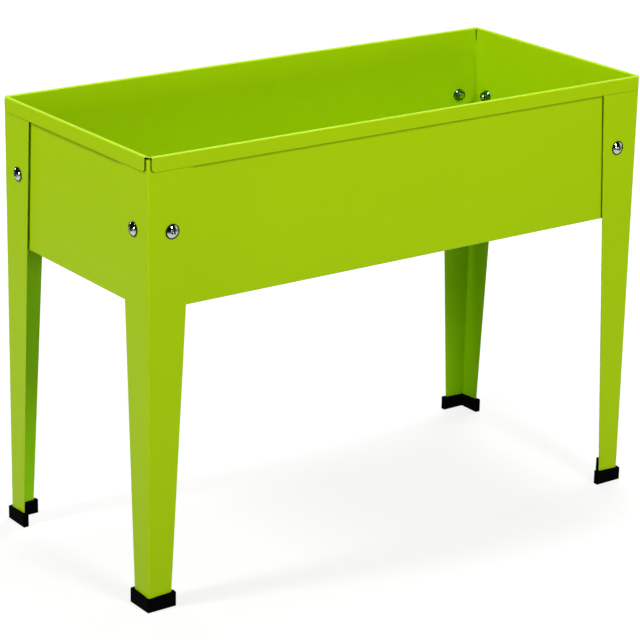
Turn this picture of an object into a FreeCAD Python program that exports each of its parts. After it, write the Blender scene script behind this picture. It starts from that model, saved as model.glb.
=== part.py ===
import FreeCAD, Part
import math
import os

# Raised garden bed: a folded sheet-steel tub carried by four tapered angle legs,
# each leg bolted to the tub through both of its flanges and shod with a plastic cap.
# Millimetres, +Z up, long side along X, front at -Y, origin on the floor under the tub's centre.

# Whole bed
bed_length = 802.0          # over the folded rim
bed_width = 359.0           # over the folded rim
bed_height = 600.0          # floor to the top of the rim
tub_depth = 198.0           # top of the rim to the underside of the tub

# Tub, one tray of painted sheet with a rim folded out and down
tub_sheet = 1.0
tub_bend = 0.8              # inside radius of the floor and corner bends
rim_bend = 0.8              # inside radius of both rim folds
lip_drop = 19.0             # top of the rim to the lower edge of the lip
long_lip_setback = 5.5      # bed's outer corner to the end of a long side's lip
end_lip_setback = 7.0       # and to the end of an end wall's lip
lip_corner_radius = 6.0     # lower corners of each lip
mitre_gap = 0.2             # between two rims, along each corner's diagonal
rim_corner_radius = 3.5     # where the flats of two rims meet
slit_width = 1.6            # relief slit in the corner bend, under both rims
slit_depth = 18.0           # top of the rim to the foot of the slit
drain_diameter = 8.0
drain_pitch_x = 190.0
drain_pitch_y = 170.0
drain_columns = 4
drain_rows = 2

# Legs, bent angles whose flanges narrow towards the floor
leg_sheet = 1.2
leg_bend = 1.5              # inside radius of the bend
leg_top_width = 66.0        # flange width at the top of the bed
leg_floor_width = 33.0      # flange width at floor level
leg_lip_clearance = 1.0     # leg to the inside of the lip
leg_rim_gap = 2.0           # leg's top to the underside of the rim

# Bolts, with the spacer washers that hold each leg off the tub
bolt_diameter = 8.0
bolt_corner_offset = 34.6   # leg's outer corner to the bolt
bolt_drop = 98.0            # top of the rim to the bolt
bolt_hole_clearance = 1.0   # on the diameter, in leg and tub
bolt_projection = 2.8       # thread that shows past the nut
bolt_end_chamfer = 0.8
bolt_turn_step = 37.0       # each bolt and nut stops at its own angle, in degrees
head_diameter = 17.5
head_height = 4.4
head_rim = 0.9              # upright band under the dome
recess_span = 8.8           # cross recess, across two wings at its mouth
recess_tip_span = 3.4       # and at its tip
recess_wing = 2.1           # width of one wing
recess_depth = 3.2
spacer_diameter = 19.0
spacer_thickness = 2.4
spacer_clearance = 0.4      # on the diameter, round the bolt

# Flanged nuts inside the tub
nut_flats = 13.0
nut_height = 7.9
nut_chamfer_angle = 30.0    # bevel of the hexagon's free end
nut_flange_diameter = 17.9
nut_flange_rim = 1.2        # thickness at the flange's edge
nut_flange_rise = 3.0       # height where the flange's cone meets the hexagon
nut_clearance = 0.2         # on the diameter, round the bolt

# Foot caps
foot_height = 20.0          # at the free ends of the two arms
foot_dip = 2.0              # how much lower the cap is at its outer corner
foot_base = 4.0             # floor to the lower end of the leg
foot_wall = 3.4
foot_end_wall = 5.0
foot_fit = 0.2              # cap to leg, all round
foot_corner_radius = 2.0    # outer upright corner
foot_inner_radius = 1.0     # corner inside the angle
foot_end_radius = 1.2       # upright edges of the arms' ends
foot_edge_bevel = 0.6       # upper and lower edges

# Places that follow from the sizes above
rim_reach = tub_sheet + leg_lip_clearance + leg_sheet + spacer_thickness
wall_x = bed_length / 2 - rim_reach
wall_y = bed_width / 2 - rim_reach
tub_bottom = bed_height - tub_depth
fold_radius = rim_bend + tub_sheet
wall_top = bed_height - fold_radius
leg_x = bed_length / 2 - tub_sheet - leg_lip_clearance
leg_y = bed_width / 2 - tub_sheet - leg_lip_clearance
leg_top = bed_height - tub_sheet - leg_rim_gap
leg_taper = (leg_top_width - leg_floor_width) / bed_height
bolt_z = bed_height - bolt_drop
bolt_hole = bolt_diameter + bolt_hole_clearance
spacer_seat = leg_sheet + spacer_thickness
nut_seat = spacer_seat + tub_sheet
bolt_length = nut_seat + nut_height + bolt_projection
overshoot = 5.0             # how far cutting tools run past what they cut

corners = {
    "front_left": (-1, -1),
    "front_right": (1, -1),
    "back_left": (-1, 1),
    "back_right": (1, 1),
}


def vec(x, y, z):
    return FreeCAD.Vector(x, y, z)


def cylinder(diameter, low, high):
    return Part.makeCylinder(diameter / 2, high - low, vec(0, 0, low))


def line(start, finish):
    return Part.makeLine(vec(*start), vec(*finish))


def corner_arc(start, centre, radius, finish):
    # Quarter round of an outline: its middle lies on the bisector of its two ends
    bisector = vec(*start) + vec(*finish) - vec(*centre) * 2
    bisector.normalize()
    return Part.Arc(vec(*start), vec(*centre) + bisector * radius, vec(*finish)).toShape()


def flange_width(z):
    return leg_floor_width + leg_taper * z


def bolt_seats(sx, sy):
    # Both seats of one corner: the wall's name, the point on the leg's outer face, the way out
    long_seat = vec(sx * (leg_x - bolt_corner_offset), sy * leg_y, bolt_z)
    end_seat = vec(sx * leg_x, sy * (leg_y - bolt_corner_offset), bolt_z)
    return [("long", long_seat, vec(0, sy, 0)), ("end", end_seat, vec(sx, 0, 0))]


def on_seat(shape, seat, outward, turn=0.0):
    # Fasteners are drawn along +Z from the leg's outer face, then set on their seat
    placed = shape.copy()
    spin = FreeCAD.Rotation(vec(0, 0, 1), turn)
    aim = FreeCAD.Rotation(vec(0, 0, 1), outward)
    placed.Placement = FreeCAD.Placement(seat, aim.multiply(spin))
    return placed


def bolt_drills(sx, sy):
    drill = cylinder(bolt_hole, -nut_seat - overshoot, overshoot)
    return [on_seat(drill, seat, outward) for _, seat, outward in bolt_seats(sx, sy)]


def tray_block(inset, top):
    # Block with bent lower edges and corners, drawn in from the tub's outside by the inset
    half_x = wall_x - inset
    half_y = wall_y - inset
    low = tub_bottom + inset
    block = Part.makeBox(2 * half_x, 2 * half_y, top - low, vec(-half_x, -half_y, low))
    bends = [edge for edge in block.Edges if edge.BoundBox.ZMin < low + tub_sheet / 2]
    return block.makeFillet(tub_bend + tub_sheet - inset, bends)


def mitred_plan(inner, outer, corner_y):
    # Ground under one rim, cut off at both ends along the diagonals of the bed's corners
    tip = corner_y - mitre_gap / math.sqrt(2)
    root = tip - (outer - inner)
    low = bed_height - lip_drop - overshoot
    plan = Part.makePolygon([
        vec(inner, -root, low),
        vec(outer, -tip, low),
        vec(outer, tip, low),
        vec(inner, root, low),
        vec(inner, -root, low),
    ])
    return Part.Face(plan).extrude(vec(0, 0, lip_drop + 2 * overshoot))


def rim_strip(wall, corner_y, lip_setback):
    # Rim of the wall that faces +X: up from the wall, out over the leg and down into the lip.
    # The flat of the rim runs to the mitre, the lip and its fold stop short of the corner.
    inner = wall - tub_sheet
    outer = wall + rim_reach
    lip_back = outer - tub_sheet
    lip_foot = bed_height - lip_drop
    under = bed_height - tub_sheet
    near = inner + fold_radius
    far = outer - fold_radius
    y = -corner_y
    outline = Part.Wire([
        line((inner, y, wall_top), (wall, y, wall_top)),
        corner_arc((wall, y, wall_top), (near, y, wall_top), rim_bend, (near, y, under)),
        line((near, y, under), (far, y, under)),
        corner_arc((far, y, under), (far, y, wall_top), rim_bend, (lip_back, y, wall_top)),
        line((lip_back, y, wall_top), (lip_back, y, lip_foot)),
        line((lip_back, y, lip_foot), (outer, y, lip_foot)),
        line((outer, y, lip_foot), (outer, y, wall_top)),
        corner_arc((outer, y, wall_top), (far, y, wall_top), fold_radius, (far, y, bed_height)),
        line((far, y, bed_height), (near, y, bed_height)),
        corner_arc((near, y, bed_height), (near, y, wall_top), fold_radius, (inner, y, wall_top)),
    ])
    strip = Part.Face(outline).extrude(vec(0, 2 * corner_y, 0))
    strip = strip.common(mitred_plan(inner, outer, corner_y))
    trim = Part.makeBox(
        fold_radius + overshoot, lip_setback + overshoot, lip_drop + 2 * overshoot,
        vec(far, corner_y - lip_setback, lip_foot - overshoot)
    )
    strip = strip.cut([trim, trim.mirror(vec(0, 0, 0), vec(0, 1, 0))])
    lip_corners = [
        edge for edge in strip.Edges
        if edge.BoundBox.ZMax < lip_foot + tub_sheet / 2 and edge.BoundBox.YLength < tub_sheet
    ]
    return strip.makeFillet(lip_corner_radius, lip_corners)


def rim_corner_trim(sx, sy):
    # What lies outside the round where two rims meet, beside the ends of their lips
    x = bed_length / 2 - fold_radius - rim_corner_radius
    y = bed_width / 2 - fold_radius - rim_corner_radius
    side = rim_corner_radius + fold_radius + overshoot
    height = tub_sheet + 2 * overshoot
    block = Part.makeBox(side, side, height).cut(Part.makeCylinder(rim_corner_radius, height))
    block.translate(vec(x, y, bed_height - tub_sheet - overshoot))
    if sx < 0:
        block = block.mirror(vec(0, 0, 0), vec(1, 0, 0))
    if sy < 0:
        block = block.mirror(vec(0, 0, 0), vec(0, 1, 0))
    return block


def corner_slit(sx, sy):
    # Upright relief along the corner's diagonal, through the bend under both rims
    length = 2 * (tub_bend + tub_sheet) * math.sqrt(2)
    slot = Part.makeBox(length, slit_width, slit_depth + overshoot, vec(-length / 2, -slit_width / 2, 0))
    slot.rotate(vec(0, 0, 0), vec(0, 0, 1), math.degrees(math.atan2(sy, sx)))
    slot.translate(vec(sx * wall_x, sy * wall_y, bed_height - slit_depth))
    return slot


def drain_drills():
    drill = cylinder(drain_diameter, tub_bottom - overshoot, tub_bottom + tub_sheet + overshoot)
    drills = []
    for column in range(drain_columns):
        for row in range(drain_rows):
            x = (column - (drain_columns - 1) / 2) * drain_pitch_x
            y = (row - (drain_rows - 1) / 2) * drain_pitch_y
            drills.append(drill.translated(vec(x, y, 0)))
    return drills


def make_tub():
    tray = tray_block(0, wall_top).cut(tray_block(tub_sheet, bed_height))
    tray = tray.cut([corner_slit(sx, sy) for sx, sy in corners.values()])
    end_rim = rim_strip(wall_x, bed_width / 2, end_lip_setback)
    long_rim = rim_strip(wall_y, bed_length / 2, long_lip_setback)
    rims = []
    for rim, facing in ((end_rim, 0), (end_rim, 180), (long_rim, 90), (long_rim, 270)):
        placed = rim.copy()
        placed.rotate(vec(0, 0, 0), vec(0, 0, 1), facing)
        rims.append(placed)
    cuts = drain_drills()
    for sx, sy in corners.values():
        cuts.append(rim_corner_trim(sx, sy))
        cuts.extend(bolt_drills(sx, sy))
    return tray.multiFuse(rims).cut(cuts).removeSplitter()


def angle_outline(reach, outer, inner, inside_radius, outside_radius, z):
    # L section with arms along +X and +Y, its faces counted inwards from the leg's outer faces
    bend_in = inner + inside_radius
    bend_out = outer + outside_radius
    return Part.Wire([
        line((reach, outer, z), (reach, inner, z)),
        line((reach, inner, z), (bend_in, inner, z)),
        corner_arc((bend_in, inner, z), (bend_in, bend_in, z), inside_radius, (inner, bend_in, z)),
        line((inner, bend_in, z), (inner, reach, z)),
        line((inner, reach, z), (outer, reach, z)),
        line((outer, reach, z), (outer, bend_out, z)),
        corner_arc((outer, bend_out, z), (bend_out, bend_out, z), outside_radius, (bend_out, outer, z)),
        line((bend_out, outer, z), (reach, outer, z)),
    ])


def tapered_angle(low, high, grow):
    # Bent angle between two heights, its flanges sheared to the taper, grown all round for a fit
    reach = flange_width(high) + grow
    outline = angle_outline(reach, -grow, leg_sheet + grow, leg_bend - grow, leg_bend + leg_sheet + grow, low)
    bar = Part.Face(outline).extrude(vec(0, 0, high - low))
    back = -grow - overshoot
    keep = Part.makePolygon([
        vec(back, back, low),
        vec(flange_width(low) + grow, back, low),
        vec(reach, back, high),
        vec(back, back, high),
        vec(back, back, low),
    ])
    keep_x = Part.Face(keep).extrude(vec(0, reach + 2 * overshoot, 0))
    keep_y = keep_x.mirror(vec(0, 0, 0), vec(1, -1, 0))
    return bar.common(keep_x).common(keep_y)


def at_corner(shape, sx, sy):
    # Corner pieces are drawn for the front left, from the leg's outer corner inwards
    placed = shape.translated(vec(-leg_x, -leg_y, 0))
    if sx > 0:
        placed = placed.mirror(vec(0, 0, 0), vec(1, 0, 0))
    if sy > 0:
        placed = placed.mirror(vec(0, 0, 0), vec(0, 1, 0))
    return placed


def make_foot():
    # L-shaped cap round the leg's end, its top sloping down to the outer corner
    reach = flange_width(foot_height) + foot_fit + foot_end_wall
    outer = -foot_fit - foot_wall
    inner = leg_sheet + foot_fit + foot_wall
    outline = angle_outline(reach, outer, inner, foot_inner_radius, foot_corner_radius, 0)
    cap = Part.Face(outline).extrude(vec(0, 0, foot_height + foot_dip))
    arm_ends = [
        edge for edge in cap.Edges
        if edge.BoundBox.ZLength > foot_height
        and max(edge.BoundBox.XMin, edge.BoundBox.YMin) > reach - foot_end_radius
    ]
    cap = cap.makeFillet(foot_end_radius, arm_ends)
    side = 2 * (reach - outer + overshoot)
    low_corner = vec(outer, outer, foot_height - foot_dip)
    above = Part.makeBox(side, side, side, low_corner - vec(side / 2, side / 2, 0))
    tilt = math.degrees(math.atan(math.sqrt(2) * foot_dip / (reach - outer)))
    above.rotate(low_corner, vec(1, -1, 0), tilt)
    cap = cap.cut(above)
    level = math.cos(math.radians(2 * tilt))
    ends = [face for face in cap.Faces if abs(face.normalAt(0, 0).z) > level]
    cap = cap.makeChamfer(foot_edge_bevel, [edge for face in ends for edge in face.Edges])
    return cap.cut(tapered_angle(foot_base, foot_height + overshoot, foot_fit))


def cross_recess():
    # Two crossed wedges, each narrowing from its mouth to its tip
    mouth = head_height
    tip = head_height - recess_depth
    wedge = Part.makePolygon([
        vec(-recess_span / 2, -recess_wing / 2, mouth),
        vec(recess_span / 2, -recess_wing / 2, mouth),
        vec(recess_tip_span / 2, -recess_wing / 2, tip),
        vec(-recess_tip_span / 2, -recess_wing / 2, tip),
        vec(-recess_span / 2, -recess_wing / 2, mouth),
    ])
    wing = Part.Face(wedge).extrude(vec(0, recess_wing, 0))
    crossed = wing.copy()
    crossed.rotate(vec(0, 0, 0), vec(0, 0, 1), 90)
    return wing.fuse(crossed)


def make_bolt():
    # Truss-head bolt, turned from one profile, with its seat at the leg's outer face
    shank = bolt_diameter / 2
    head = head_diameter / 2
    crown = head_height - head_rim
    dome = (head ** 2 + crown ** 2) / (2 * crown)
    half_angle = math.asin(head / dome) / 2
    dome_middle = vec(dome * math.sin(half_angle), 0, head_height - dome + dome * math.cos(half_angle))
    profile = Part.Wire([
        line((0, 0, head_height), (0, 0, -bolt_length)),
        line((0, 0, -bolt_length), (shank - bolt_end_chamfer, 0, -bolt_length)),
        line((shank - bolt_end_chamfer, 0, -bolt_length), (shank, 0, bolt_end_chamfer - bolt_length)),
        line((shank, 0, bolt_end_chamfer - bolt_length), (shank, 0, 0)),
        line((shank, 0, 0), (head, 0, 0)),
        line((head, 0, 0), (head, 0, head_rim)),
        Part.Arc(vec(head, 0, head_rim), dome_middle, vec(0, 0, head_height)).toShape(),
    ])
    turned = Part.Face(profile).revolve(vec(0, 0, 0), vec(0, 0, 1), 360)
    return turned.cut(cross_recess())


def make_nut():
    # Hexagon on a coned flange, seated on the tub's inside
    corner = nut_flats / math.sqrt(3)
    free_end = -nut_seat - nut_height
    bevel = (corner - nut_flats / 2) * math.tan(math.radians(nut_chamfer_angle))
    turns = [k * math.pi / 3 for k in range(7)]
    hexagon = Part.makePolygon([vec(corner * math.cos(a), corner * math.sin(a), free_end) for a in turns])
    prism = Part.Face(hexagon).extrude(vec(0, 0, nut_height))
    bevelled = cylinder(2 * corner, free_end + bevel, -nut_seat)
    bevelled = bevelled.fuse(Part.makeCone(nut_flats / 2, corner, bevel, vec(0, 0, free_end)))
    flange = cylinder(nut_flange_diameter, -nut_seat - nut_flange_rim, -nut_seat)
    slope = Part.makeCone(
        nut_flats / 2, nut_flange_diameter / 2, nut_flange_rise - nut_flange_rim,
        vec(0, 0, -nut_seat - nut_flange_rise)
    )
    body = prism.common(bevelled).multiFuse([flange, slope])
    return body.cut(cylinder(bolt_diameter + nut_clearance, free_end - overshoot, overshoot)).removeSplitter()


def make_spacer():
    ring = cylinder(spacer_diameter, -spacer_seat, -leg_sheet)
    return ring.cut(cylinder(bolt_diameter + spacer_clearance, -spacer_seat - overshoot, overshoot))


def build():
    pieces = {"tub": make_tub()}
    leg = tapered_angle(foot_base, leg_top, 0)
    foot = make_foot()
    fasteners = {"bolt": make_bolt(), "spacer": make_spacer(), "nut": make_nut()}
    turn = 0.0
    for corner, (sx, sy) in corners.items():
        pieces["leg_" + corner] = at_corner(leg, sx, sy).cut(bolt_drills(sx, sy))
        pieces["foot_" + corner] = at_corner(foot, sx, sy)
        for wall, seat, outward in bolt_seats(sx, sy):
            turn += bolt_turn_step
            for kind, fastener in fasteners.items():
                pieces[kind + "_" + corner + "_" + wall] = on_seat(fastener, seat, outward, turn)
    return pieces


os.makedirs("parts", exist_ok=True)
for node, shape in build().items():
    shape.exportStep("parts/" + node + ".step")
    print(node, len(shape.Solids), shape.isValid(), round(shape.Volume, 1))
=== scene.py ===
import math

import bmesh
import bpy
from mathutils import Matrix, Quaternion, Vector


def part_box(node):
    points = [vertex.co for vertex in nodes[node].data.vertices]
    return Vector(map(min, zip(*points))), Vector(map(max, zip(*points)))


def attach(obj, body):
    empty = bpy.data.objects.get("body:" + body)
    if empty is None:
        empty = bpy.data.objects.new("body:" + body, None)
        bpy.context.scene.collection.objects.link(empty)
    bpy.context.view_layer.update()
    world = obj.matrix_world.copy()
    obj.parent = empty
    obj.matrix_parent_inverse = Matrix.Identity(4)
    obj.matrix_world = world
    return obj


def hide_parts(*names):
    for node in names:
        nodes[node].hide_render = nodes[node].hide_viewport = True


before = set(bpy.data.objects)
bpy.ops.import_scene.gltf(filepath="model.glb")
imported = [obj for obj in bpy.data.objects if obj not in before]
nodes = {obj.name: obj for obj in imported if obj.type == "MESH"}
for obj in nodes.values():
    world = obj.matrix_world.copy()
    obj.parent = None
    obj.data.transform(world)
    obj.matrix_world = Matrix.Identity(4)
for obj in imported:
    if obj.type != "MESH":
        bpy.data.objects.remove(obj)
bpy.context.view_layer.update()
scene = bpy.context.scene
print("frame loaded:", len(nodes), "parts of the bed")


def linear(hexColour):
    # sRGB hex to the linear colour that a shader socket takes
    channels = [int(hexColour[i:i + 2], 16) / 255 for i in (1, 3, 5)]
    return [c / 12.92 if c <= 0.04045 else ((c + 0.055) / 1.055) ** 2.4 for c in channels] + [1]


def addNode(tree, kind, settings=None, links=None):
    node = tree.nodes.new(kind)
    for name, value in (settings or {}).items():
        if isinstance(name, int) or name in node.inputs:
            node.inputs[name].default_value = value
        else:
            setattr(node, name, value)
    for name, source in (links or {}).items():
        tree.links.new(source, node.inputs[name])
    return node


def newMaterial(name):
    material = bpy.data.materials.new(name)
    material.use_nodes = True
    tree = material.node_tree
    tree.nodes.clear()
    place = addNode(tree, "ShaderNodeTexCoord").outputs["Object"]
    return material, tree, place


# Polyester powder coat, sprayed dry on the folded sheet and baked: an even, saturated lime with a
# soft gloss, a faint orange peel in the shine and a tone that drifts a little with the film's build
coat = {
    "thinFilm": "#A4C904",
    "fullFilm": "#AACE04",
    "paintedShadeFilm": "#90CB03",    # painted shade: the insides of the legs, drawn greener and darker as they look in the shade under the tub
    "paintedGapShadow": "#161F02",   # painted shadow: the ends of the rim's lips and flats, drawn as dark as the gap behind them looks
    "driftSize": 0.26,      # metres from a thin to a full patch
    "peelSize": 0.0022,     # orange peel, drawn coarser than the real 1.5 mm and deeper so that it shows
    "peelDepth": 0.00016,
    "waveSize": 0.16,       # slow waves of thin sheet between its folds
    "waveDepth": 0.0003,
    "glossLow": 0.30,
    "glossHigh": 0.40,
    "ior": 1.5,
    "specular": 0.08,       # a matting agent in the film dulls the mirror part of the shine
}


def limePowderCoat():
    material, tree, place = newMaterial("lime_polyester_powder_coat")
    drift = addNode(tree, "ShaderNodeTexNoise", {"Scale": 1 / coat["driftSize"], "Detail": 3},
                    {"Vector": place})
    tone = addNode(tree, "ShaderNodeMix",
                   {"data_type": "RGBA", 6: linear(coat["thinFilm"]), 7: linear(coat["fullFilm"])},
                   {0: drift.outputs["Fac"]})
    # painted shade: the legs' inner faces, marked on the mesh, take a greener, darker tone
    shadeMask = addNode(tree, "ShaderNodeAttribute", {"attribute_name": "paintedShadeSide"})
    inside = addNode(tree, "ShaderNodeMix", {"data_type": "RGBA", 7: linear(coat["paintedShadeFilm"])},
                     {0: shadeMask.outputs["Fac"], 6: tone.outputs[2]})
    # painted shadow: the lip ends and flat corners, marked on the mesh, take a near-black tone
    cut = addNode(tree, "ShaderNodeAttribute", {"attribute_name": "paintedGapShadow"})
    colour = addNode(tree, "ShaderNodeMix", {"data_type": "RGBA", 7: linear(coat["paintedGapShadow"])},
                     {0: cut.outputs["Fac"], 6: inside.outputs[2]})
    gloss = addNode(tree, "ShaderNodeMapRange", {"To Min": coat["glossLow"], "To Max": coat["glossHigh"]},
                    {"Value": drift.outputs["Fac"]})
    wave = addNode(tree, "ShaderNodeTexNoise", {"Scale": 1 / coat["waveSize"], "Detail": 0},
                   {"Vector": place})
    waveBump = addNode(tree, "ShaderNodeBump", {"Strength": 1, "Distance": coat["waveDepth"]},
                       {"Height": wave.outputs["Fac"]})
    peel = addNode(tree, "ShaderNodeTexNoise", {"Scale": 1 / coat["peelSize"], "Detail": 1},
                   {"Vector": place})
    peelBump = addNode(tree, "ShaderNodeBump", {"Strength": 1, "Distance": coat["peelDepth"]},
                       {"Height": peel.outputs["Fac"], "Normal": waveBump.outputs["Normal"]})
    film = addNode(tree, "ShaderNodeBsdfPrincipled",
                   {"IOR": coat["ior"], "Specular IOR Level": coat["specular"]},
                   {"Base Color": colour.outputs[2], "Roughness": gloss.outputs["Result"],
                    "Normal": peelBump.outputs["Normal"]})
    addNode(tree, "ShaderNodeOutputMaterial", {}, {"Surface": film.outputs["BSDF"]})
    return material


# Bright nickel plate over cold-formed steel: near-mirror, with faint forging ripple and duller patches; its
# green-grey tint is painted reflection of the lime paint round it
brightPlate = {
    "metal": "#B2C0B9",
    "rippleSize": 0.0016,
    "rippleDepth": 0.00001,
    "hazeSize": 0.004,
    "glossLow": 0.03,
    "glossHigh": 0.08,
}

# Zinc plate on the plain washers, a little rougher than the nickel; its dark metal is painted shade, for the
# dark ring round each bolt head
zincPlate = {
    "metal": "#3C403D",
    "rippleSize": 0.0012,
    "rippleDepth": 0.00001,
    "hazeSize": 0.003,
    "glossLow": 0.12,
    "glossHigh": 0.24,
}

# The same zinc plate on the nuts: its blue tinge is a thin passive film, its green is painted reflection of
# the lime walls round the nuts
nutPlate = {**zincPlate, "metal": "#557A6C"}


def platedSteel(name, plate):
    material, tree, place = newMaterial(name)
    ripple = addNode(tree, "ShaderNodeTexNoise", {"Scale": 1 / plate["rippleSize"], "Detail": 2},
                     {"Vector": place})
    bump = addNode(tree, "ShaderNodeBump", {"Strength": 1, "Distance": plate["rippleDepth"]},
                   {"Height": ripple.outputs["Fac"]})
    haze = addNode(tree, "ShaderNodeTexNoise", {"Scale": 1 / plate["hazeSize"], "Detail": 3},
                   {"Vector": place})
    gloss = addNode(tree, "ShaderNodeMapRange", {"To Min": plate["glossLow"], "To Max": plate["glossHigh"]},
                    {"Value": haze.outputs["Fac"]})
    metal = addNode(tree, "ShaderNodeBsdfPrincipled", {"Base Color": linear(plate["metal"]), "Metallic": 1},
                    {"Roughness": gloss.outputs["Result"], "Normal": bump.outputs["Normal"]})
    addNode(tree, "ShaderNodeOutputMaterial", {}, {"Surface": metal.outputs["BSDF"]})
    return material


# Polyethylene moulded in an eroded steel tool: deep black, satin, with a fine even grain
capPlastic = {
    "black": "#030303",
    "rubbed": "#09090A",
    "grainSize": 0.0007,
    "grainDepth": 0.00004,
    "rubSize": 0.012,
    "glossLow": 0.38,
    "glossHigh": 0.55,
    "ior": 1.51,
    "specular": 0.003,      # almost no mirror part, so that the caps look as black as they should
}


def blackPolyethylene():
    material, tree, place = newMaterial("moulded_black_polyethylene")
    grain = addNode(tree, "ShaderNodeTexNoise", {"Scale": 1 / capPlastic["grainSize"], "Detail": 2},
                    {"Vector": place})
    bump = addNode(tree, "ShaderNodeBump", {"Strength": 1, "Distance": capPlastic["grainDepth"]},
                   {"Height": grain.outputs["Fac"]})
    rub = addNode(tree, "ShaderNodeTexNoise", {"Scale": 1 / capPlastic["rubSize"], "Detail": 4},
                  {"Vector": place})
    tone = addNode(tree, "ShaderNodeMix",
                   {"data_type": "RGBA", 6: linear(capPlastic["black"]), 7: linear(capPlastic["rubbed"])},
                   {0: rub.outputs["Fac"]})
    gloss = addNode(tree, "ShaderNodeMapRange",
                    {"To Min": capPlastic["glossHigh"], "To Max": capPlastic["glossLow"]},
                    {"Value": rub.outputs["Fac"]})
    plastic = addNode(tree, "ShaderNodeBsdfPrincipled",
                      {"IOR": capPlastic["ior"], "Specular IOR Level": capPlastic["specular"]},
                      {"Base Color": tone.outputs[2], "Roughness": gloss.outputs["Result"],
                       "Normal": bump.outputs["Normal"]})
    addNode(tree, "ShaderNodeOutputMaterial", {}, {"Surface": plastic.outputs["BSDF"]})
    return material


# Die-cut rubber sheet: dull charcoal with a chalky bloom
washerRubber = {"rubber": "#161616", "bloom": "#232322", "bloomSize": 0.003, "roughness": 0.8, "ior": 1.52}


def dieCutRubber():
    material, tree, place = newMaterial("die_cut_black_rubber")
    bloom = addNode(tree, "ShaderNodeTexNoise", {"Scale": 1 / washerRubber["bloomSize"], "Detail": 4},
                    {"Vector": place})
    tone = addNode(tree, "ShaderNodeMix",
                   {"data_type": "RGBA", 6: linear(washerRubber["rubber"]), 7: linear(washerRubber["bloom"])},
                   {0: bloom.outputs["Fac"]})
    rubber = addNode(tree, "ShaderNodeBsdfPrincipled",
                     {"IOR": washerRubber["ior"], "Roughness": washerRubber["roughness"]},
                     {"Base Color": tone.outputs[2]})
    addNode(tree, "ShaderNodeOutputMaterial", {}, {"Surface": rubber.outputs["BSDF"]})
    return material


lime = limePowderCoat()
nickel = platedSteel("bright_nickel_plated_steel", brightPlate)
zinc = platedSteel("zinc_plate_with_painted_shade", zincPlate)
blueZincAndPaintedReflection = platedSteel("blue_zinc_and_painted_green_reflection", nutPlate)
black = blackPolyethylene()
rubber = dieCutRubber()
print("materials made")

weldGap = 2e-6    # corners of loose triangles closer than this are one point
flatLimit = math.radians(0.4)
creaseFrom = math.radians(50)    # edges that turn more than this stay crisp in the shading
roundSteps = 2    # faces across a rounded edge
cutSlack = 1e-7   # points this close to a cut lie on it


def copyOfNode(name):
    # the part's own triangles, joined up, with flat faces whole again
    mesh = bmesh.new()
    mesh.from_mesh(nodes[name].data)
    bmesh.ops.remove_doubles(mesh, verts=mesh.verts, dist=weldGap)
    bmesh.ops.dissolve_limit(mesh, angle_limit=flatLimit, verts=mesh.verts, edges=mesh.edges)
    return mesh


def softenEdges(mesh, settings, crisp=()):
    # rounds the sharp edges, apart from the ones that are to stay crisp
    sharpFrom = math.radians(settings["sharpFrom"])
    sharp = [e for e in mesh.edges if e.is_manifold and e.calc_face_angle() > sharpFrom and e not in crisp]
    bmesh.ops.bevel(mesh, geom=sharp, offset=settings["edgeRound"], offset_type="OFFSET", affect="EDGES",
                    segments=roundSteps, profile=0.5, material=-1, clamp_overlap=False)


def finishPiece(mesh, name, material, stoodFor=True):
    # stoodFor: there is a part of that name in the frame, and the piece takes its place
    for face in mesh.faces:
        face.smooth = True
    for edge in mesh.edges:
        edge.smooth = not edge.is_manifold or edge.calc_face_angle() < creaseFrom
    data = bpy.data.meshes.new(name + "_finished")
    mesh.to_mesh(data)
    mesh.free()
    piece = bpy.data.objects.new(name + "_finished", data)
    scene.collection.objects.link(piece)
    data.materials.append(material)
    shading = piece.modifiers.new("flat faces stay flat", "WEIGHTED_NORMAL")
    shading.keep_sharp = True
    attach(piece, "root")
    if stoodFor:
        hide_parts(name)


corners = [front + side for front in ("front", "back") for side in ("_left", "_right")]
walls = ["long", "end"]
perBolt = [(corner, wall, corner + "_" + wall) for corner in corners for wall in walls]
boltAxis = {"long": 1, "end": 0}    # the bolts of the long walls lie along Y, those of the ends along X

sheetEdges = {
    "sharpFrom": 60,
    "edgeRound": 0.0003,
    "wallInset": 0.0056,    # from the rim's outside to the outside of the walls
    "crispWithin": 0.003,   # of a corner of the walls, where the mitred folds are too fine to round
}
legEdges = {
    "sharpFrom": 60,
    "edgeRound": 0.0005,
    "inwardFrom": 0.5,      # share of a face's normal that looks in under the tub
}


def markPaintedShadeSide(mesh):
    # the inner faces of a leg, which take the painted shade
    mesh.normal_update()
    shadeMask = mesh.faces.layers.float.new("paintedShadeSide")
    for face in mesh.faces:
        middle, normal = face.calc_center_median(), face.normal
        inward = max(-normal.x * math.copysign(1, middle.x), -normal.y * math.copysign(1, middle.y))
        face[shadeMask] = 1 if inward > legEdges["inwardFrom"] else 0


def mitreEdges(mesh):
    # where the folds of two walls meet at a corner of the tub
    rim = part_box("tub")[1]
    wallX, wallY = (rim[i] - sheetEdges["wallInset"] for i in range(2))
    near = {v for v in mesh.verts
            if math.hypot(abs(v.co.x) - wallX, abs(v.co.y) - wallY) < sheetEdges["crispWithin"]}
    return {e for e in mesh.edges if near.intersection(e.verts)}


# where the painted gap shadow goes at the rim's corners
gapShadowAt = {
    "lipDrop": 0.0195,      # from the rim's top to just under the lips
    "lipBack": 0.0019,      # from the rim's outside to just behind the lips
    "flatUnder": 0.0012,    # from the rim's top to just under its flats
    "cornerRun": (0.0055, 0.007),    # how far from the corner the lips end, along X and along Y
    "turned": 0.12,         # share of a face's normal that looks along the rim
    "level": 0.8,           # share that looks up or down, from which a face is no edge but the flat itself
}


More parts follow.
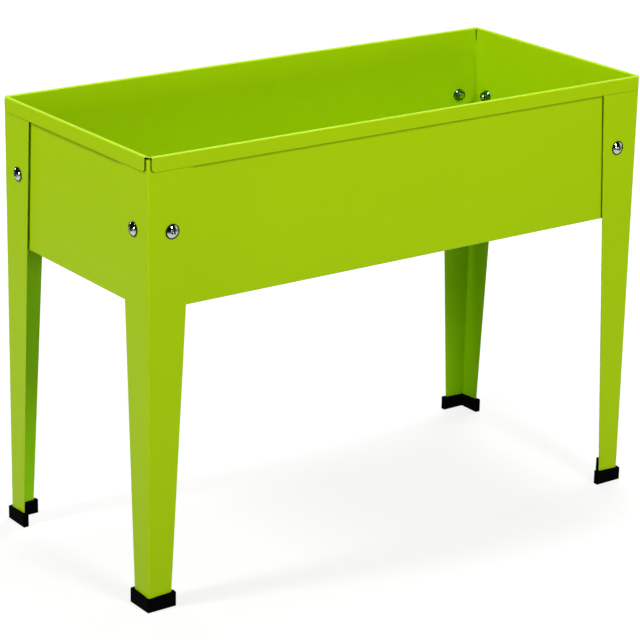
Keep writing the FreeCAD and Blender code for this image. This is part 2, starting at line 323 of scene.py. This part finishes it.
def markPaintedGapShadow(mesh):
    # painted shadow: the ends of the lips and the rounded corners of the flats between them take a near-black
    # tone, for the shade in the gap behind them
    mesh.normal_update()
    cut = mesh.faces.layers.float.new("paintedGapShadow")
    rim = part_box("tub")[1]
    runX, runY = gapShadowAt["cornerRun"]
    for face in mesh.faces:
        middle, normal = face.calc_center_median(), face.normal
        inX, inY, below = rim[0] - abs(middle.x), rim[1] - abs(middle.y), rim[2] - middle.z
        lipEnd = below < gapShadowAt["lipDrop"] and (
            inY < gapShadowAt["lipBack"] and abs(normal.x) > gapShadowAt["turned"]
            or inX < gapShadowAt["lipBack"] and abs(normal.y) > gapShadowAt["turned"])
        flatEnd = (below < gapShadowAt["flatUnder"] and inX < runX and inY < runY
                   and abs(normal.z) < gapShadowAt["level"])
        face[cut] = 1 if lipEnd or flatEnd else 0


mesh = copyOfNode("tub")
softenEdges(mesh, sheetEdges, mitreEdges(mesh))
markPaintedGapShadow(mesh)
finishPiece(mesh, "tub", lime)
for corner in corners:
    mesh = copyOfNode("leg_" + corner)
    softenEdges(mesh, legEdges)
    markPaintedShadeSide(mesh)
    finishPiece(mesh, "leg_" + corner, lime)
print("tub and legs coated")

capEdges = {"sharpFrom": 60, "edgeRound": 0.0003}
for corner in corners:
    mesh = copyOfNode("foot_" + corner)
    softenEdges(mesh, capEdges)
    finishPiece(mesh, "foot_" + corner, black)
print("foot caps moulded")

# rolled M8 thread on the free end of each bolt
thread = {
    "pitch": 0.00125,
    "depth": 0.00072,
    "run": 0.0060,          # from the tip to a point inside the nut
    "tipRadius": 0.0032,    # the lead-in chamfer narrows to this
    "steps": 36,            # round one turn
    "crest": (0, 1 / 8),    # from and to, in pitches
    "root": (7 / 16, 11 / 16),
}


def threadedEnd(radius):
    # drawn along +Z, tip at zero: a zigzag spun once round while it climbs by one pitch
    pitch, run = thread["pitch"], thread["run"]
    mesh = bmesh.new()
    crest, root = radius, radius - thread["depth"]
    zigzag = [(share, crest) for share in thread["crest"]] + [(share, root) for share in thread["root"]]
    profile = []
    for turn in range(math.ceil(run / pitch) + 2):
        foot = (turn - 1) * pitch - run
        for share, reach in zigzag:
            profile.append(mesh.verts.new((reach, 0, foot + share * pitch)))
    edges = [mesh.edges.new(pair) for pair in zip(profile, profile[1:])]
    bmesh.ops.spin(mesh, geom=profile + edges, cent=(0, 0, 0), axis=(0, 0, 1), angle=2 * math.pi,
                   dvec=(0, 0, pitch / thread["steps"]), steps=thread["steps"], use_merge=False)
    bmesh.ops.remove_doubles(mesh, verts=mesh.verts, dist=weldGap)
    for height, side in ((-run, -1), (0, 1)):
        bmesh.ops.bisect_plane(mesh, geom=mesh.verts[:] + mesh.edges[:] + mesh.faces[:], dist=cutSlack,
                               plane_co=(0, 0, height), plane_no=(0, 0, side), clear_outer=True)
    bmesh.ops.holes_fill(mesh, edges=[e for e in mesh.edges if e.is_boundary])
    for vert in mesh.verts:
        limit = thread["tipRadius"] - vert.co.z
        reach = math.hypot(vert.co.x, vert.co.y)
        if reach > limit:
            vert.co.x *= limit / reach
            vert.co.y *= limit / reach
    bmesh.ops.recalc_face_normals(mesh, faces=mesh.faces)
    return mesh


def threadBolt(mesh, wall):
    # the plain end of the shank is cut off inside the nut and the threaded end set in its place
    along = boltAxis[wall]
    low = Vector([min(v.co[i] for v in mesh.verts) for i in range(3)])
    high = Vector([max(v.co[i] for v in mesh.verts) for i in range(3)])
    tip = (low + high) / 2
    inward = Vector((0, 0, 0))
    inward[along] = -1 if tip[along] > 0 else 1
    tip[along] = low[along] if tip[along] > 0 else high[along]
    bmesh.ops.bisect_plane(mesh, geom=mesh.verts[:] + mesh.edges[:] + mesh.faces[:], dist=cutSlack,
                           plane_co=tip - inward * thread["run"], plane_no=inward, clear_outer=True)
    cut = [e for e in mesh.edges if e.is_boundary]
    radius = max((v.co - tip - inward * (v.co - tip).dot(inward)).length for e in cut for v in e.verts)
    bmesh.ops.holes_fill(mesh, edges=cut)
    rolled = threadedEnd(radius)
    aim = Vector((0, 0, 1)).rotation_difference(inward).to_matrix().to_4x4()
    bmesh.ops.transform(rolled, matrix=Matrix.Translation(tip) @ aim, verts=rolled.verts)
    carrier = bpy.data.meshes.new("rolled_thread")
    rolled.to_mesh(carrier)
    rolled.free()
    mesh.from_mesh(carrier)
    bpy.data.meshes.remove(carrier)


# plain washer under each bolt's head
washer = {
    "radius": 0.0098,
    "bore": 0.0042,
    "thickness": 0.0013,
    "sharpFrom": 60,
    "edgeRound": 0.0002,
    "steps": 48,
}


def plainWasher(outward, seat):
    # a flat ring spun from its section, then laid on the leg
    mesh = bmesh.new()
    inner, outer, top = washer["bore"], washer["radius"], washer["thickness"]
    section = [mesh.verts.new((x, 0, z)) for x, z in ((inner, 0), (outer, 0), (outer, top), (inner, top))]
    edges = [mesh.edges.new(pair) for pair in zip(section, section[1:] + section[:1])]
    bmesh.ops.spin(mesh, geom=section + edges, cent=(0, 0, 0), axis=(0, 0, 1), angle=2 * math.pi,
                   steps=washer["steps"], use_merge=True)
    bmesh.ops.remove_doubles(mesh, verts=mesh.verts, dist=weldGap)
    bmesh.ops.recalc_face_normals(mesh, faces=mesh.faces)
    softenEdges(mesh, washer)
    aim = Vector((0, 0, 1)).rotation_difference(outward).to_matrix().to_4x4()
    bmesh.ops.transform(mesh, matrix=Matrix.Translation(seat) @ aim, verts=mesh.verts)
    return mesh


def washerSeat(corner, wall, place):
    # the leg's outer face, on the bolt's axis
    along = boltAxis[wall]
    low, high = (Vector(c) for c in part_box("bolt_" + place))
    legLow, legHigh = (Vector(c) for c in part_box("leg_" + corner))
    seat = (low + high) / 2
    outward = Vector((0, 0, 0))
    outward[along] = 1 if seat[along] > 0 else -1
    seat[along] = legHigh[along] if seat[along] > 0 else legLow[along]
    return outward, seat


nutEdges = {"sharpFrom": 40, "edgeRound": 0.00015}
for corner, wall, place in perBolt:
    mesh = plainWasher(*washerSeat(corner, wall, place))
    finishPiece(mesh, "washer_" + place, zinc, stoodFor=False)
    mesh = copyOfNode("bolt_" + place)
    threadBolt(mesh, wall)
    finishPiece(mesh, "bolt_" + place, nickel)
    mesh = copyOfNode("nut_" + place)
    softenEdges(mesh, nutEdges)
    finishPiece(mesh, "nut_" + place, blueZincAndPaintedReflection)
    finishPiece(copyOfNode("spacer_" + place), "spacer_" + place, rubber)
print("bolts, nuts and washers set")

# camera: where the picture was taken from, in degrees round the bed and metres
viewpoint = {
    "around": -36.144,
    "above": 17.911,
    "roll": 1.169,
    "distance": 3.45524,
    "target": (-0.01081, 0, 0.35554),
    "lens": 141.792,
    "rise": -0.09375,    # lens shift: the picture was framed a little below the optical axis
}


def direction(around, above):
    # unit vector from the bed, turned round it from the front and raised from the floor, in degrees
    around, above = math.radians(around), math.radians(above)
    return Vector((math.sin(around) * math.cos(above), -math.cos(around) * math.cos(above), math.sin(above)))


def setCamera():
    back = direction(viewpoint["around"], viewpoint["above"])
    camera = bpy.data.objects.new("camera", bpy.data.cameras.new("camera"))
    scene.collection.objects.link(camera)
    camera.data.lens = viewpoint["lens"]
    camera.data.shift_y = viewpoint["rise"]
    camera.location = Vector(viewpoint["target"]) + back * viewpoint["distance"]
    camera.rotation_mode = "QUATERNION"
    roll = Quaternion((0, 0, 1), math.radians(viewpoint["roll"]))
    camera.rotation_quaternion = (-back).to_track_quat("-Z", "Y") @ roll
    scene.camera = camera


# softboxes hung round the bed, all aimed at the tub; metres, degrees and watts
lampAim = Vector((0, 0, 0.4))
softboxes = {
    "frontBox": {"around": 3, "above": 37, "distance": 3.0, "size": (0.6, 0.9), "power": 46},
    "frontLowBox": {"around": 2, "above": 5, "distance": 3.6, "size": (0.7, 0.5), "power": 27},
    "leftBox": {"around": -96, "above": 45, "distance": 3.2, "size": (0.3, 0.9), "power": 55},
    "leftLowBox": {"around": -90, "above": 9, "distance": 3.2, "size": (0.3, 0.7), "power": 20},
    "rightBox": {"around": 98, "above": 4, "distance": 3.2, "size": (0.6, 0.5), "power": 20},
    "backBox": {"around": 184, "above": 4, "distance": 3.2, "size": (0.6, 0.5), "power": 22},
    "topBox": {"around": 120, "above": 66, "distance": 2.6, "size": (0.8, 0.8), "power": 46},
}


def hangSoftbox(name):
    box = softboxes[name]
    lamp = bpy.data.lights.new(name, "AREA")
    lamp.shape = "RECTANGLE"
    lamp.size, lamp.size_y = box["size"]
    lamp.energy = box["power"]
    holder = bpy.data.objects.new(name, lamp)
    scene.collection.objects.link(holder)
    out = direction(box["around"], box["above"])
    holder.location = lampAim + out * box["distance"]
    holder.rotation_mode = "QUATERNION"
    holder.rotation_quaternion = (-out).to_track_quat("-Z", "Y")
    holder.visible_camera = False


studio = {
    "fill": 0.08,            # strength of the room's soft light
    "white": "#FFFFFF",
    "backdrop": 1.0,         # what a mirror sees of the white backdrop
    "backdropAround": 115,   # it goes round the right and the back of the bed
    "backdropEdge": (0.45, 0.7),    # cosine of the angle from its middle, from outside it to inside
    "roomDark": 0.006,       # what a mirror sees of the room in front and overhead
    "backdropTop": 0.45,     # sine of the height where the backdrop starts to end
    "ceilingFrom": 0.65,
    "floorSize": 16,
    "floorPaper": "#A0A09E",
    "floorShown": "#7C7C7B",    # the part of the paper's tone that takes the bed's shadow
    "glowNear": 0.80,        # the rest of its white, beside the bed and far from it
    "glowFar": 1.0,
    "glowFrom": 0.5,         # metres
    "glowTo": 1.7,
    "paperEdge": (1.0, 2.0),    # what a mirror sees of the paper fades out here, in metres from the bed
    "paperFront": (-1.3, -0.8),    # and in front of the bed, along Y
}


def seenDirectly(tree, path):
    # 1 for what the camera, a mirror or a glass sees, 0 for what lights the bed
    mirror = addNode(tree, "ShaderNodeMath", {"operation": "MAXIMUM"},
                     {0: path.outputs["Is Camera Ray"], 1: path.outputs["Is Glossy Ray"]})
    return addNode(tree, "ShaderNodeMath", {"operation": "MAXIMUM"},
                   {0: mirror.outputs[0], 1: path.outputs["Is Transmission Ray"]}).outputs[0]


def setWorld():
    world = bpy.data.worlds.new("studio")
    world.use_nodes = True
    tree = world.node_tree
    tree.nodes.clear()
    fill = addNode(tree, "ShaderNodeBackground",
                   {"Color": linear(studio["white"]), "Strength": studio["fill"]})
    path = addNode(tree, "ShaderNodeLightPath")
    heading = addNode(tree, "ShaderNodeTexCoord").outputs["Generated"]
    parts = addNode(tree, "ShaderNodeSeparateXYZ", {}, {"Vector": heading})
    low = addNode(tree, "ShaderNodeMapRange",
                  {"From Min": studio["backdropTop"], "From Max": studio["ceilingFrom"],
                   "To Min": studio["backdrop"], "To Max": 0},
                  {"Value": parts.outputs["Z"]})
    outside, inside = studio["backdropEdge"]
    aside = addNode(tree, "ShaderNodeVectorMath",
                    {"operation": "DOT_PRODUCT", 1: direction(studio["backdropAround"], 0)}, {0: heading})
    behind = addNode(tree, "ShaderNodeMapRange", {"From Min": outside, "From Max": inside},
                     {"Value": aside.outputs["Value"]})
    backdrop = addNode(tree, "ShaderNodeMath", {"operation": "MULTIPLY"},
                       {0: low.outputs["Result"], 1: behind.outputs["Result"]})
    room = addNode(tree, "ShaderNodeMath", {"operation": "MAXIMUM", 1: studio["roomDark"]},
                   {0: backdrop.outputs[0]})
    lit = addNode(tree, "ShaderNodeMath", {"operation": "MAXIMUM"},
                  {0: room.outputs[0], 1: path.outputs["Is Camera Ray"]})
    shown = addNode(tree, "ShaderNodeBackground", {"Color": linear(studio["white"])},
                    {"Strength": lit.outputs[0]})
    mix = addNode(tree, "ShaderNodeMixShader", {},
                  {0: seenDirectly(tree, path), 1: fill.outputs[0], 2: shown.outputs[0]})
    addNode(tree, "ShaderNodeOutputWorld", {}, {"Surface": mix.outputs[0]})
    scene.world = world


def layFloor():
    mesh = bmesh.new()
    bmesh.ops.create_grid(mesh, x_segments=1, y_segments=1, size=studio["floorSize"] / 2)
    data = bpy.data.meshes.new("floor")
    mesh.to_mesh(data)
    mesh.free()
    floor = bpy.data.objects.new("floor", data)
    scene.collection.objects.link(floor)
    material, tree, place = newMaterial("seamless_paper")
    path = addNode(tree, "ShaderNodeLightPath")
    paper = addNode(tree, "ShaderNodeBsdfDiffuse", {"Color": linear(studio["floorPaper"])})
    shade = addNode(tree, "ShaderNodeBsdfDiffuse", {"Color": linear(studio["floorShown"])})
    away = addNode(tree, "ShaderNodeVectorMath", {"operation": "LENGTH"}, {0: place})
    glow = addNode(tree, "ShaderNodeMapRange",
                   {"From Min": studio["glowFrom"], "From Max": studio["glowTo"],
                    "To Min": studio["glowNear"], "To Max": studio["glowFar"]},
                   {"Value": away.outputs["Value"]})
    parts = addNode(tree, "ShaderNodeSeparateXYZ", {}, {"Vector": place})
    dark, white = studio["paperFront"]
    laid = addNode(tree, "ShaderNodeMapRange", {"From Min": dark, "From Max": white},
                   {"Value": parts.outputs["Y"]})
    near, far = studio["paperEdge"]
    close = addNode(tree, "ShaderNodeMapRange", {"From Min": near, "From Max": far, "To Min": 1, "To Max": 0},
                    {"Value": away.outputs["Value"]})
    mirrored = addNode(tree, "ShaderNodeMath", {"operation": "MULTIPLY"},
                       {0: laid.outputs["Result"], 1: close.outputs["Result"]})
    lit = addNode(tree, "ShaderNodeMath", {"operation": "MAXIMUM"},
                  {0: mirrored.outputs[0], 1: path.outputs["Is Camera Ray"]})
    power = addNode(tree, "ShaderNodeMath", {"operation": "MULTIPLY"},
                    {0: glow.outputs["Result"], 1: lit.outputs[0]})
    light = addNode(tree, "ShaderNodeEmission", {"Color": linear(studio["white"])},
                    {"Strength": power.outputs[0]})
    shown = addNode(tree, "ShaderNodeAddShader", {}, {0: shade.outputs[0], 1: light.outputs[0]})
    mix = addNode(tree, "ShaderNodeMixShader", {},
                  {0: seenDirectly(tree, path), 1: paper.outputs[0], 2: shown.outputs[0]})
    addNode(tree, "ShaderNodeOutputMaterial", {}, {"Surface": mix.outputs[0]})
    data.materials.append(material)


setCamera()
for name in softboxes:
    hangSoftbox(name)
setWorld()
layFloor()
scene.view_settings.view_transform = "Standard"
print("studio set")
